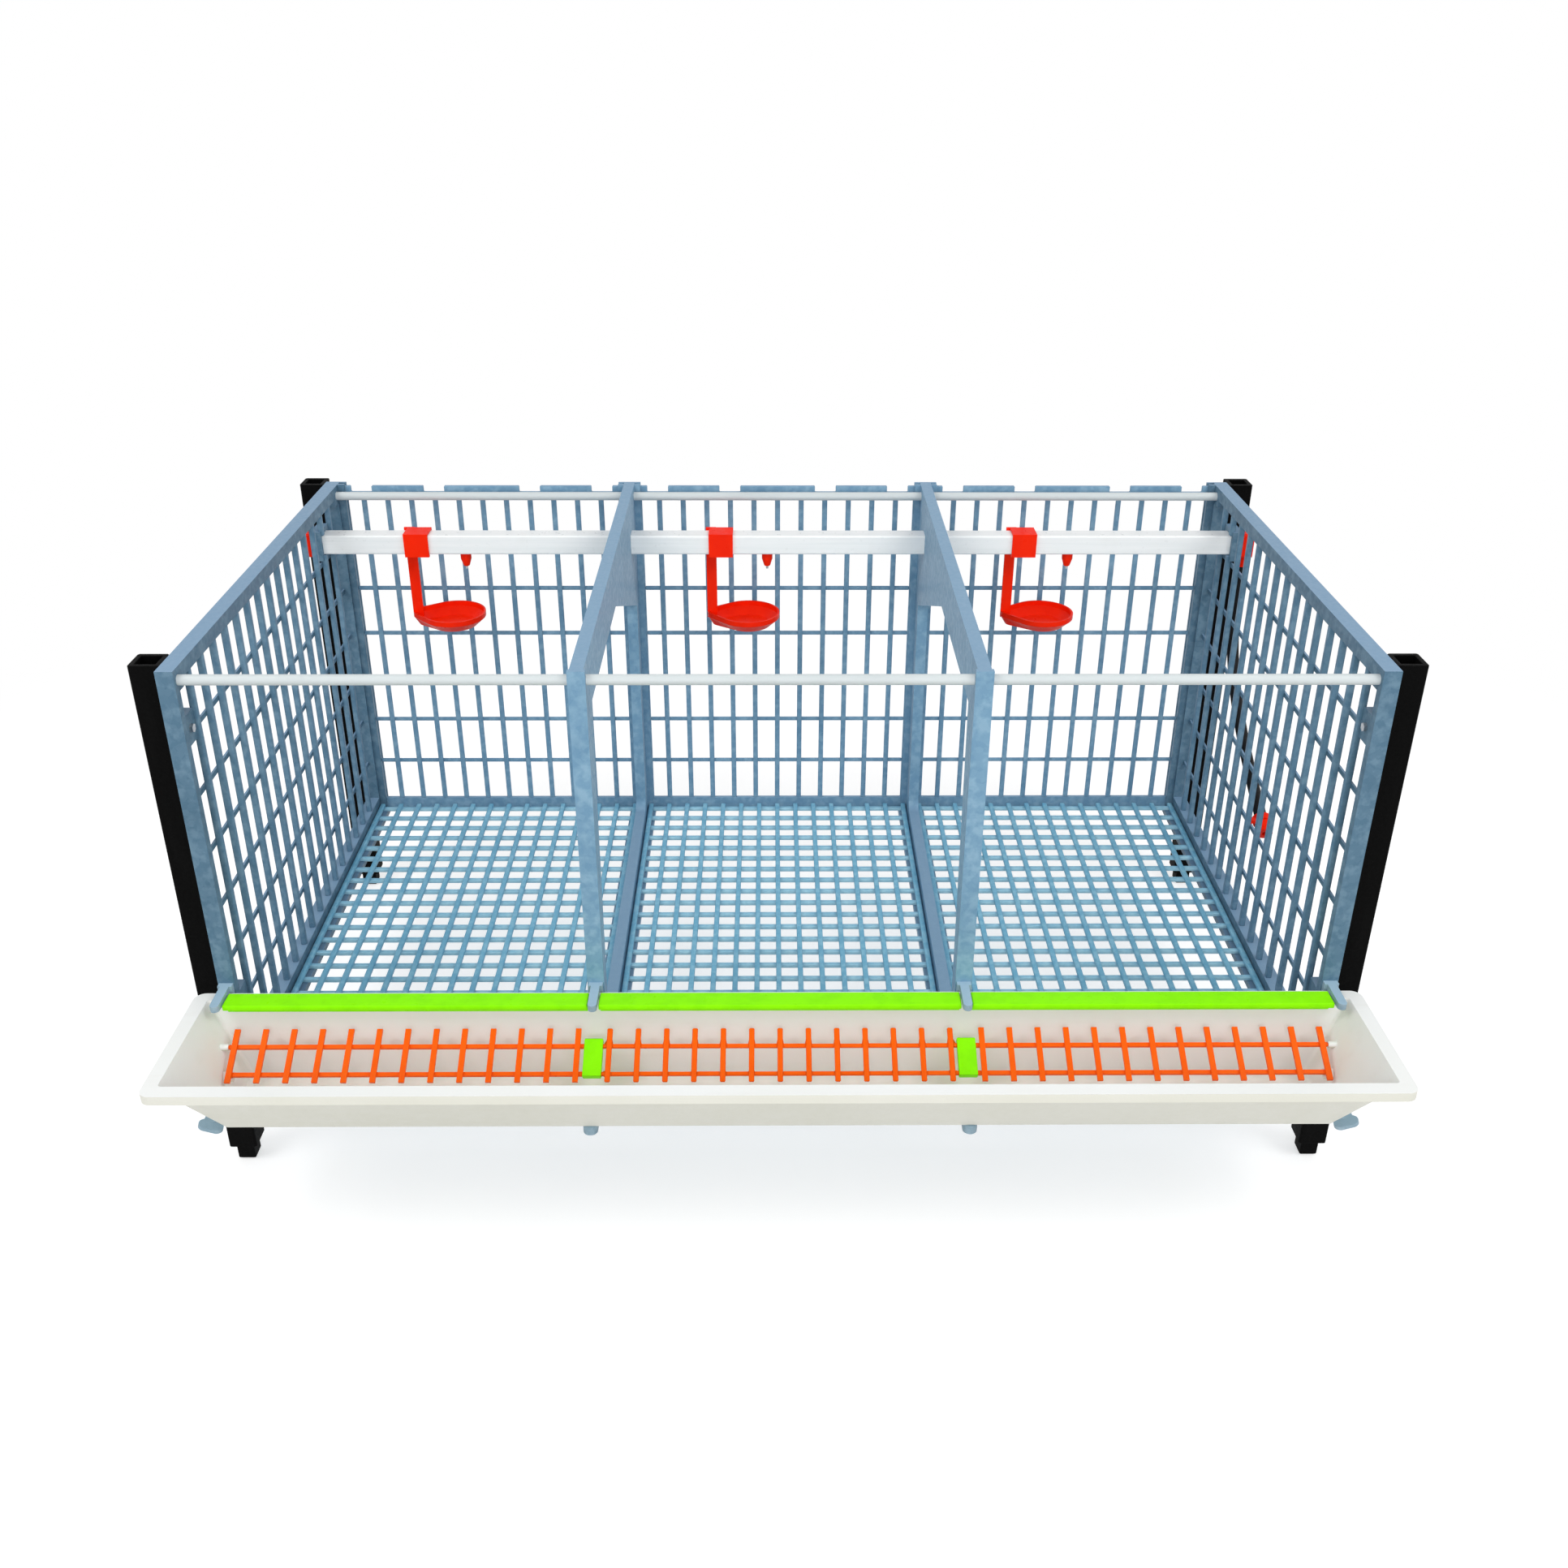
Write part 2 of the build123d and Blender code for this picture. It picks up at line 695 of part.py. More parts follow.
with BuildPart() as hose_connector:
    with BuildSketch(connector_plane):
        Circle(connector_diameter / 2)
    extrude(amount=connector_length)
    with BuildSketch(connector_plane):
        Circle(connector_collar / 2)
    extrude(amount=connector_collar_length)
    hook_y_range = (hook_y - connector_hook / 2, hook_y + connector_hook / 2)
    hook_x_range = (outer_x + hook_fit, outer_x + hook_fit + connector_hook_wall)
    hook_x_inner = screw_seat_x + bar_depth + hook_fit
    hook_z_range = (hook_low, hook_low + connector_hook_wall)
    web_z_range = (connector_z - connector_hook / 2, connector_z + connector_hook / 2)
    block((hook_x_range[0], hose_x), hook_y_range, web_z_range)
    block(hook_x_range, hook_y_range, (connector_z, hook_z_range[1]))
    block((hook_x_inner, hook_x_range[1]), hook_y_range, hook_z_range)
    with BuildSketch(connector_plane.offset(connector_length)):
        Circle(water_way / 2)
    extrude(amount=connector_collar_length - connector_length, mode=Mode.SUBTRACT)
save(hose_connector, "hose_connector")

# Nipples: a screwed-in body, a steel pin that hangs in it and a plug that seals it
body_foot = pipe_bottom - nipple_length
seat_z = pipe_bottom - nipple_seat
body_top = pipe_bottom + nipple_thread_length
pin_top = seat_z + pin_gap + pin_head_height
pin_foot = body_foot - pin_reach

with BuildPart() as nipple_body:
    with BuildSketch(Plane.XZ):
        with BuildLine():
            Polyline(
                (nipple_bore / 2, body_foot),
                (nipple_tip / 2, body_foot),
                (nipple_neck / 2, pipe_bottom - nipple_barrel),
                (nipple_neck / 2, pipe_bottom),
                (nipple_thread / 2, pipe_bottom),
                (nipple_thread / 2, body_top),
                (nipple_chamber / 2, body_top),
                (nipple_chamber / 2, seat_z),
                (nipple_bore / 2, seat_z),
                close=True,
            )
        make_face()
    revolve(axis=Axis.Z)

with BuildPart() as nipple_pin:
    with BuildSketch(Plane.XY.offset(pin_foot)):
        Circle(pin_diameter / 2)
    extrude(amount=pin_top - pin_foot)
    with BuildSketch(Plane.XY.offset(pin_top)):
        Circle(pin_head / 2)
    extrude(amount=-pin_head_height)

with BuildPart() as nipple_seal:
    with BuildSketch(Plane.XY.offset(pin_top + pin_gap)):
        Circle(seal_diameter / 2)
    extrude(amount=seal_height)

for bay, x in nipple_xs.items():
    save(copy_at(nipple_body, x, pipe_y), f"nipple_body_{bay}")
    save(copy_at(nipple_pin, x, pipe_y), f"nipple_pin_{bay}")
    save(copy_at(nipple_seal, x, pipe_y), f"nipple_seal_{bay}")

# Drinker cups: a clip over the pipe, an arm behind it and a drawn-out dish below
clip_inner = pipe_size / 2 + clip_fit
clip_outer = clip_inner + clip_wall
clip_left = clip_offset - clip_width / 2
clip_right = clip_offset + clip_width / 2
arm_left = clip_left - arm_overhang
arm_rear_y = pipe_y + clip_inner + arm_depth
cup_y = pipe_y + cup_setback
cup_z = floor_z + cup_rise
tip_x = arm_left + cup_tip_radius
tip_y = arm_rear_y - arm_depth / 2


def dish(z, radius, tip_radius, reach=1.0):
    """The cup's outline at a height: a round bowl drawn out to a tongue under the arm."""
    with BuildSketch(Plane.XY.offset(z)) as outline:
        with Locations((cup_offset, cup_y)):
            Circle(radius)
        with Locations((cup_offset + (tip_x - cup_offset) * reach, cup_y + (tip_y - cup_y) * reach)):
            Circle(tip_radius)
        make_hull()
    return outline.sketch


bowl_top = cup_z - cup_rim
bowl_foot = cup_z - cup_depth
inner_radius = cup_radius - cup_wall
inner_tip = cup_tip_radius - cup_wall
rim_outline = dish(bowl_top, cup_radius, cup_tip_radius)
foot_outline = dish(bowl_foot, cup_foot_radius, cup_foot_tip, cup_foot_reach)
rim_hollow = dish(cup_z, inner_radius, inner_tip)
bowl_hollow = dish(bowl_top, inner_radius, inner_tip)
foot_hollow = dish(
    bowl_foot + cup_wall, cup_foot_radius - cup_wall, cup_foot_tip - cup_wall, cup_foot_reach
)

with BuildPart() as drinker_cup:
    extrude(rim_outline, amount=cup_rim)
    loft([rim_outline, foot_outline], ruled=True)
    extrude(rim_hollow, amount=-cup_rim, mode=Mode.SUBTRACT)
    loft([bowl_hollow, foot_hollow], ruled=True, mode=Mode.SUBTRACT)
    block(
        (arm_left, arm_left + arm_width),
        (arm_rear_y - arm_depth, arm_rear_y),
        (cup_z - cup_depth / 2, pipe_z + clip_outer),
    )
    block(
        (clip_left, clip_right),
        (pipe_y - clip_outer, pipe_y + clip_inner + clip_wall),
        (pipe_z + clip_inner, pipe_z + clip_outer),
    )
    block(
        (clip_left, clip_right),
        (pipe_y - clip_outer, pipe_y - clip_inner),
        (pipe_z - clip_outer, pipe_z + clip_outer),
    )
    block(
        (clip_left, clip_right),
        (pipe_y - clip_outer, pipe_y - clip_inner + clip_catch),
        (pipe_z - clip_outer, pipe_z - clip_inner),
    )
    block(
        (clip_left, clip_right),
        (pipe_y + clip_inner, pipe_y + clip_inner + clip_wall),
        (pipe_z - clip_inner, pipe_z + clip_outer),
    )

for bay, x in bays.items():
    save(copy_at(drinker_cup, x=x), f"drinker_cup_{bay}")

# Feed trough: a tapered channel with closed ends and a rolled rim, higher at the front
rim_rear_y = front_y - trough_gap
rim_front_y = rim_rear_y - rim_span
rim_mid_y = (rim_rear_y + rim_front_y) / 2
rim_rear_z = floor_z + trough_rear_rise
rim_front_z = floor_z + trough_front_rise
rim_mid_z = (rim_rear_z + rim_front_z) / 2
rim_plane = Plane(
    origin=(0, rim_mid_y, rim_mid_z), x_dir=(1, 0, 0), z_dir=(0, sin(rim_tilt), cos(rim_tilt))
)
trough_bottom = floor_z + trough_bottom_rise
bottom_mid_y = front_y - trough_bottom_rear - trough_bottom_width / 2
trough_head = rim_front_z + rim_width
mouth_length = trough_length - 2 * rim_width
mouth_width = trough_width - 2 * rim_width
pivot_y = front_y - grille_setback
pivot_z = floor_z + grille_rise
grille_end = bay_pitch + (grille_bars - 1) * grille_pitch / 2 + grille_cross_width / 2
pivot_end = grille_end + grille_stub
boss_face = pivot_end + grille_end_gap


def wall_inside(at_bottom, at_mouth, z):
    """Where the inside of a sloping trough wall is at a height, between its two edges."""
    share = (z - trough_bottom - trough_wall) / (trough_head - trough_bottom - trough_wall)
    return at_bottom + (at_mouth - at_bottom) * share


def end_inside(z):
    """How far from the middle the inside of the end walls is."""
    return wall_inside(trough_bottom_length / 2, mouth_length / 2, z) - trough_wall


def rear_inside(z):
    """Where the inside of the rear wall is."""
    bottom_rear = bottom_mid_y + trough_bottom_width / 2
    return wall_inside(bottom_rear, rim_mid_y + mouth_width / 2, z) - trough_wall


boss_depth = end_inside(pivot_z + grille_boss / 2) + boss_root - boss_face
slope = radians(grille_slope)
grille_plane = Plane(
    origin=(0, pivot_y, pivot_z), x_dir=(1, 0, 0), z_dir=(0, -sin(slope), cos(slope))
)
stop_z = pivot_z - grille_spacing * sin(slope)
stop_root = end_inside(stop_z) + trough_wall / 2
stop_middle = stop_root - (stop_length + trough_wall) / 2


def trough_outline(inset):
    """The mouth and the bottom of the channel, drawn in by a wall thickness."""
    with BuildSketch(Plane.XY.offset(trough_head)) as mouth:
        with Locations((0, rim_mid_y)):
            RectangleRounded(mouth_length - 2 * inset, mouth_width - 2 * inset, trough_corner)
    with BuildSketch(Plane.XY.offset(trough_bottom + inset)) as bottom:
        with Locations((0, bottom_mid_y)):
            RectangleRounded(
                trough_bottom_length - 2 * inset, trough_bottom_width - 2 * inset, trough_corner
            )
    return [mouth.sketch, bottom.sketch]


with BuildPart() as feed_trough:
    loft(trough_outline(0), ruled=True)
    split(bisect_by=rim_plane, keep=Keep.BOTTOM)
    with BuildSketch(rim_plane):
        RectangleRounded(trough_length, trough_width, trough_corner + rim_width)
    extrude(amount=-rim_thickness)
    with BuildSketch(rim_plane):
        RectangleRounded(trough_length, trough_width, trough_corner + rim_width)
        RectangleRounded(
            trough_length - 2 * lip_thickness,
            trough_width - 2 * lip_thickness,
            trough_corner + rim_width - lip_thickness,
            mode=Mode.SUBTRACT,
        )
    extrude(amount=-lip_height)
    loft(trough_outline(trough_wall), ruled=True, mode=Mode.SUBTRACT)
    for side in (-1, 1):
        with BuildSketch(Plane(origin=(side * boss_face, pivot_y, pivot_z), z_dir=(side, 0, 0))):
            Circle(grille_boss / 2)
        extrude(amount=boss_depth)
        with BuildSketch(Plane(origin=(side * boss_face, pivot_y, pivot_z), z_dir=(side, 0, 0))):
            Circle(grille_pin / 2 + grille_pin_fit)
        extrude(amount=grille_pin_seat, mode=Mode.SUBTRACT)
    with BuildSketch(grille_plane.offset(-grille_long_depth / 2 - stop_fit)):
        with Locations((-stop_middle, -grille_spacing), (stop_middle, -grille_spacing)):
            Rectangle(stop_length + trough_wall, stop_width)
    extrude(amount=-stop_thickness)
save(feed_trough, "feed_trough")

# Edge strips: clipped over the rear rim between the bracket fingers
strip_length = bay_pitch - finger_width - 2 * strip_end_fit
strip_rear = trough_width / 2 - strip_set
strip_front = strip_rear - strip_width
leg_top_z = rim_rear_z + rim_thickness
leg_foot_z = rim_rear_z - strip_leg
leg_top_y = rear_inside(leg_top_z) - strip_fit
leg_foot_y = rear_inside(leg_foot_z) - strip_fit


def on_rim(along, above):
    """A point in the cage's side view, measured from the middle of the rim."""
    point = rim_plane.from_local_coords((0, along, above))
    return (point.Y, point.Z)


with BuildPart() as edge_strip:
    with BuildSketch(Plane.YZ.offset(-strip_length / 2)):
        with BuildLine():
            Polyline(
                on_rim(strip_rear, 0),
                on_rim(strip_rear, strip_thickness),
                on_rim(strip_front, strip_thickness),
                on_rim(strip_front, -strip_bead),
                on_rim(strip_front + strip_bead, -strip_bead),
                on_rim(strip_front + strip_bead, 0),
                close=True,
            )
        make_face()
        with BuildLine():
            Polyline(
                (leg_top_y, leg_top_z),
                (leg_top_y - strip_leg_thickness, leg_top_z),
                (leg_foot_y - strip_leg_thickness, leg_foot_z),
                (leg_foot_y, leg_foot_z),
                close=True,
            )
        make_face()
    extrude(amount=strip_length)

for bay, x in {"left": -bay_pitch, "middle": 0, "right": bay_pitch}.items():
    save(copy_at(edge_strip, x=x), f"edge_strip_{bay}")

# Trough brackets: a finger over the rear rim, a spine and an arm under the trough
finger_low = rim_rear_z + finger_gap
finger_high = finger_low + finger_height
arm_top = trough_bottom - slide_fit
arm_low = arm_top - arm_height
spine_y = (front_y - bracket_spine, front_y)


def bracket(reach):
    """A bracket at x = 0, with an arm of a given reach."""
    with BuildPart() as piece:
        block((-bracket_width / 2, bracket_width / 2), spine_y, (arm_low, finger_high))
        with BuildSketch(Plane.XY.offset(finger_low)) as finger:
            with Locations((0, front_y - (finger_length + finger_width / 2) / 2)):
                SlotOverall(finger_length + finger_width / 2, finger_width, rotation=90)
            with Locations((0, front_y + finger_width)):
                Rectangle(2 * finger_width, 2 * finger_width, mode=Mode.SUBTRACT)
        extrude(finger.sketch, amount=finger_height)
        with BuildSketch(Plane.XY.offset(arm_low)) as arm:
            with Locations((0, front_y - (reach - bracket_width / 2) / 2)):
                Rectangle(bracket_width, reach - bracket_width / 2)
            with Locations((0, front_y - reach + bracket_width / 2)):
                Circle(bracket_width / 2)
        extrude(arm.sketch, amount=arm_height)
        with BuildSketch(upright(front_y)) as hole:
            with Locations((0, floor_z + bracket_screw_rise)):
                Circle(screw_hole)
        extrude(hole.sketch, amount=bracket_spine, mode=Mode.SUBTRACT)
    return piece


lug_centre = (wall_x - lug_shift, front_y - arm_reach + lug_depth / 2, arm_top)
lug_normal = (-sin(radians(lug_tilt)), 0, cos(radians(lug_tilt)))
lug_plane = Plane(origin=lug_centre, x_dir=(lug_normal[2], 0, -lug_normal[0]), z_dir=lug_normal)

with BuildPart() as bracket_right:
    with Locations((wall_x, 0, 0)):
        add(bracket(arm_reach - outer_arm_set).part)
    with BuildSketch(lug_plane):
        SlotOverall(lug_length, lug_depth)
    extrude(amount=-lug_thickness)

save(bracket_right, "trough_bracket_right")
save(mirrored(bracket_right), "trough_bracket_left")
save(copy_at(bracket(arm_reach), x=-divider_x), "trough_bracket_inner_left")
save(copy_at(bracket(arm_reach), x=divider_x), "trough_bracket_inner_right")

# Feed grille: three ladders of bars joined by two clips, turning on end pins
cross_length = grille_rear_overhang + grille_spacing + grille_front_overhang
cross_mid = grille_rear_overhang - cross_length / 2
joint_near = divider_x - grille_joint_gap / 2
joint_far = divider_x + grille_joint_gap / 2


def ladder_ends(place, end):
    """Both ends of a long bar in the left (-1), middle (0) or right (1) ladder."""
    return {-1: (-end, -joint_far), 0: (-joint_near, joint_near), 1: (joint_far, end)}[place]


for place, bay in enumerate(bays, start=-1):
    with BuildPart() as ladder:
        with BuildSketch(grille_plane.offset(-grille_long_depth / 2)):
            for along, end in ((0, pivot_end), (-grille_spacing, grille_end)):
                low, high = ladder_ends(place, end)
                with Locations(((low + high) / 2, along)):
                    Rectangle(high - low, grille_long_width)
        extrude(amount=grille_long_depth)
        with BuildSketch(grille_plane.offset(grille_long_depth / 2)):
            with Locations((place * bay_pitch, cross_mid)):
                with GridLocations(grille_pitch, 0, grille_bars, 1):
                    Rectangle(grille_cross_width, cross_length)
        extrude(amount=grille_cross_depth)
        if place != 0:
            pin_plane = Plane(origin=(place * pivot_end, pivot_y, pivot_z), z_dir=(place, 0, 0))
            with BuildSketch(pin_plane):
                Circle(grille_pin / 2)
            extrude(amount=grille_pin_seat)
    save(ladder, f"feed_grille_{bay}")

clip_slot = grille_long_width + 2 * grille_clip_fit
clip_slot_depth = grille_long_depth + 2 * grille_clip_fit
grille_clip_length = grille_clip_rear + grille_spacing + grille_clip_front
grille_clip_mid = grille_clip_rear - grille_clip_length / 2

for side, name in ((-1, "left"), (1, "right")):
    with BuildPart() as grille_clip:
        with BuildSketch(grille_plane.offset(-grille_clip_depth / 2)):
            with Locations((side * divider_x, grille_clip_mid)):
                Rectangle(grille_clip_width, grille_clip_length)
        extrude(amount=grille_clip_depth)
        with BuildSketch(grille_plane.offset(-clip_slot_depth / 2)):
            with Locations((side * divider_x, 0), (side * divider_x, -grille_spacing)):
                Rectangle(grille_clip_width, clip_slot)
        extrude(amount=clip_slot_depth, mode=Mode.SUBTRACT)
    save(grille_clip, f"grille_clip_{name}")
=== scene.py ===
"""Looks of the three-bay poultry cage: camera, light, hose, wall bars and materials. Metres, +Z up."""

import json
from math import pi, radians

import bmesh
import bpy
from mathutils import Matrix, Vector


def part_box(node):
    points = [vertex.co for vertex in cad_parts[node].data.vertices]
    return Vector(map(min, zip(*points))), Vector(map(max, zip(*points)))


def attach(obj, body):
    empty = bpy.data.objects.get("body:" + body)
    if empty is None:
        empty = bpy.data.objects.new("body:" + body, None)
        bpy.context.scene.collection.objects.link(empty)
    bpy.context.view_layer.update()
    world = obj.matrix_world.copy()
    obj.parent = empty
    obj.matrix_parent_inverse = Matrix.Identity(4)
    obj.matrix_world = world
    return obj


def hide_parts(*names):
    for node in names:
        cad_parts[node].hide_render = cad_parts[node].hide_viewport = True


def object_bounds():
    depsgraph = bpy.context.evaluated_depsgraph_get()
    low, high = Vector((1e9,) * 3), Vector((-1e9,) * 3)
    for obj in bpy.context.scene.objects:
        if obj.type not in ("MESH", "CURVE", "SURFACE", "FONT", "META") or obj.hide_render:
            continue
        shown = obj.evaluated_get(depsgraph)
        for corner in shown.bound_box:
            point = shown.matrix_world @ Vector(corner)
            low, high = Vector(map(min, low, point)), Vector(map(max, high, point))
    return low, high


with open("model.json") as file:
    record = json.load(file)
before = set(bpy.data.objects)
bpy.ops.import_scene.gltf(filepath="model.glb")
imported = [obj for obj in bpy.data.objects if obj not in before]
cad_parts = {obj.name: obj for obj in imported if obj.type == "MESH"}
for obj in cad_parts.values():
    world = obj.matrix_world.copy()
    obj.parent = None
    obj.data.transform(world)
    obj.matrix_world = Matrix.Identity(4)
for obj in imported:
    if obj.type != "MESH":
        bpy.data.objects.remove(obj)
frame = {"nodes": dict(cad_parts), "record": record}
cad_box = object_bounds()
nodes = frame["nodes"]
scene = bpy.context.scene

# Camera, at the photograph's viewpoint
photo_width = 1932.0  # pixels
focal_length = 1860.85  # pixels
sensor_width = 36.0  # millimetres
camera_place = Vector((-0.0081, -1.2434, 0.9484))
camera_pitch = radians(27.61)  # downwards
camera_yaw = radians(0.59)  # to the right
camera_roll = radians(0.21)

# Hose, as points from the foot of the elbow's neck: to the rear and up
hose_drop = [
    (0, 0),
    (0, -0.045),
    (-0.018, -0.098),
    (-0.062, -0.140),
    (-0.118, -0.174),
    (-0.178, -0.202),
]
hose_diameter = 0.012
hose_order = 3  # of its spline
hose_steps = 16  # from one point to the next
hose_roundness = 6  # bevel resolution of its section

# Upright bars of the side walls, as deep as the photograph shows them
upright_count = 15
upright_first = 0.037  # behind the wall's front edge
upright_pitch = 0.03015
upright_width = 0.0055
upright_inner = 0.0125  # inner face, in from the wall's outside
upright_outer = 0.00757  # outer face, between the wall's own uprights and its rows
upright_drop = 0.012  # below the wall's top
upright_height = 0.358
pipe_clearance = 0.0006

# Corners of a block's sides, each in the order that turns it outwards
block_sides = ((0, 1, 3, 2), (4, 6, 7, 5), (0, 4, 5, 1), (2, 3, 7, 6), (0, 2, 6, 4), (1, 5, 7, 3))

# Rounding of the edges, by material slot
edge_width = {
    "cage_blue": 0.0006,
    "floor_blue": 0.0006,
    "post_black": 0.0005,
    "rod_white": 0.0003,
    "pipe_white": 0.0003,
    "red": 0.0006,
    "steel": 0.0002,
    "trough_cream": 0.0009,
    "lime": 0.0006,
    "orange": 0.0007,
    "bracket_blue": 0.0009,
}
edge_angle = radians(35)  # sharper edges are rounded
edge_segments = 1
weld_distance = 0.00001

# Materials
layer_blend = 0.0002  # each way from where the floor panels' two layers of bars meet
noise_low = 0.3  # most of a noise lies between these
noise_high = 0.7
metal = 1.0
mix_share = 0  # sockets of the Mix node for colours
mix_first = 6
mix_second = 7
mix_result = 2

# Studio
white = (1.0, 1.0, 1.0, 1.0)
floor_size = 12.0
floor_shade = 0.64
floor_lift = 0.56  # brings the lit floor up to white for the camera
floor_near = 0.8  # from the middle: past this the floor fades to plain white
floor_far = 1.5  # and from here it is plain white
floor_roughness = 1.0
floor_shine = 0.0
sky_light = 0.60  # on the cage
sky_seen = 1.0  # white, where it shows
key_places = {"key_left": (-1.5, -1.0, 2.2), "key_right": (1.5, -1.0, 2.2)}
key_size = 1.1
key_power = 18.0  # each
fill_place = (0.1, -2.6, 1.0)
fill_size = 1.4
fill_power = 21.0


def add_object(name, data):
    """A new object in the scene."""
    thing = bpy.data.objects.new(name, data)
    scene.collection.objects.link(thing)
    return thing


def make_camera():
    """The camera turns about the vertical, then tips down, then rolls about its own axis."""
    lens = bpy.data.cameras.new("camera")
    lens.sensor_width = sensor_width
    lens.lens = sensor_width * focal_length / photo_width
    camera = add_object("camera", lens)
    turn = Matrix.Rotation(-camera_yaw, 4, "Z")
    tip = Matrix.Rotation(pi / 2 - camera_pitch, 4, "X")
    roll = Matrix.Rotation(camera_roll, 4, "Z")
    camera.matrix_world = Matrix.Translation(camera_place) @ turn @ tip @ roll
    scene.camera = camera


def make_light(name, place, size, power):
    """A square soft box that faces the middle of the cage."""
    lamp = bpy.data.lights.new(name, "AREA")
    lamp.size = size
    lamp.energy = power
    light = add_object(name, lamp)
    middle = (Vector(cad_box[0]) + Vector(cad_box[1])) / 2
    aim = middle - Vector(place)
    turn = aim.to_track_quat("-Z", "Y").to_matrix().to_4x4()
    light.matrix_world = Matrix.Translation(place) @ turn


def seen_directly(tree):
    """One for rays from the camera and those that gloss or glass send on, and nothing for others."""
    path = tree.nodes.new("ShaderNodeLightPath")
    total = path.outputs["Is Camera Ray"]
    for name in ("Is Glossy Ray", "Is Transmission Ray"):
        either = tree.nodes.new("ShaderNodeMath")
        either.operation = "MAXIMUM"
        tree.links.new(total, either.inputs[0])
        tree.links.new(path.outputs[name], either.inputs[1])
        total = either.outputs[0]
    return total


def make_sky():
    """A white background that lights the cage more softly than it looks."""
    world = bpy.data.worlds.new("studio")
    scene.world = world
    world.use_nodes = True
    tree = world.node_tree
    strength = tree.nodes.new("ShaderNodeMapRange")
    strength.inputs["To Min"].default_value = sky_light
    strength.inputs["To Max"].default_value = sky_seen
    tree.links.new(seen_directly(tree), strength.inputs["Value"])
    sky = tree.nodes["Background"]
    sky.inputs["Color"].default_value = white
    tree.links.new(strength.outputs["Result"], sky.inputs["Strength"])


class Look:
    """One procedural material, patterned by places on the part itself."""

    def __init__(self, name):
        self.material = bpy.data.materials.new(name)
        self.material.use_nodes = True
        self.tree = self.material.node_tree
        self.shader = self.tree.nodes["Principled BSDF"]
        self.place = self.add("ShaderNodeTexCoord").outputs["Object"]

    def feed(self, socket, value):
        """Put a number, a colour or another node's output on a socket."""
        if isinstance(value, bpy.types.NodeSocket):
            self.tree.links.new(value, socket)
        else:
            socket.default_value = value

    def add(self, kind, inputs=None, **settings):
        """A node with its settings, and its inputs by name or place."""
        node = self.tree.nodes.new(kind)
        for name, value in settings.items():
            setattr(node, name, value)
        for name, value in (inputs or {}).items():
            self.feed(node.inputs[name], value)
        return node

    def noise(self, scale, detail=3.0, density=(1.0, 1.0, 1.0)):
        """Cloudy noise, drawn out along an axis where its density is low."""
        place = self.add("ShaderNodeMapping", {"Vector": self.place, "Scale": density}).outputs[0]
        inputs = {"Vector": place, "Scale": scale, "Detail": detail}
        return self.add("ShaderNodeTexNoise", inputs).outputs["Fac"]

    def cells(self, scale):
        """Patches that each have their own random shade."""
        inputs = {"Vector": self.place, "Scale": scale}
        return self.add("ShaderNodeTexVoronoi", inputs).outputs["Color"]

    def spread(self, value, low, high, least=0.0, most=1.0):
        """Map a value from low to high onto another range, held at its ends."""
        inputs = {"Value": value, "From Min": low, "From Max": high, "To Min": least, "To Max": most}
        return self.add("ShaderNodeMapRange", inputs).outputs["Result"]

    def rough(self, least, most, scale, detail=3.0):
        """Roughness that varies like clouds between two limits."""
        return self.spread(self.noise(scale, detail), noise_low, noise_high, least, most)

    def mix(self, share, first, second):
        """A blend of two colours, all second where the share is one."""
        inputs = {mix_share: share, mix_first: first, mix_second: second}
        return self.add("ShaderNodeMix", inputs, data_type="RGBA").outputs[mix_result]

    def height(self):
        """Height above the ground."""
        return self.add("ShaderNodeSeparateXYZ", {"Vector": self.place}).outputs["Z"]

    def upward(self):
        """How far a surface faces up: one on top, nothing on an upright face."""
        normal = self.add("ShaderNodeNewGeometry").outputs["Normal"]
        return self.add("ShaderNodeSeparateXYZ", {"Vector": normal}).outputs["Z"]

    def done(self, colour, roughness, relief, depth, shine=0.5):
        """Put colour, roughness, relief and strength of reflection on the shader."""
        bump = self.add("ShaderNodeBump", {"Height": relief, "Distance": depth})
        self.feed(self.shader.inputs["Base Color"], colour)
        self.feed(self.shader.inputs["Roughness"], roughness)
        self.feed(self.shader.inputs["Specular IOR Level"], shine)
        self.feed(self.shader.inputs["Normal"], bump.outputs["Normal"])
        return self.material


def rgb(red, green, blue):
    """A linear colour."""
    return (red, green, blue, 1.0)


def grey(shade):
    """A linear grey."""
    return rgb(shade, shade, shade)


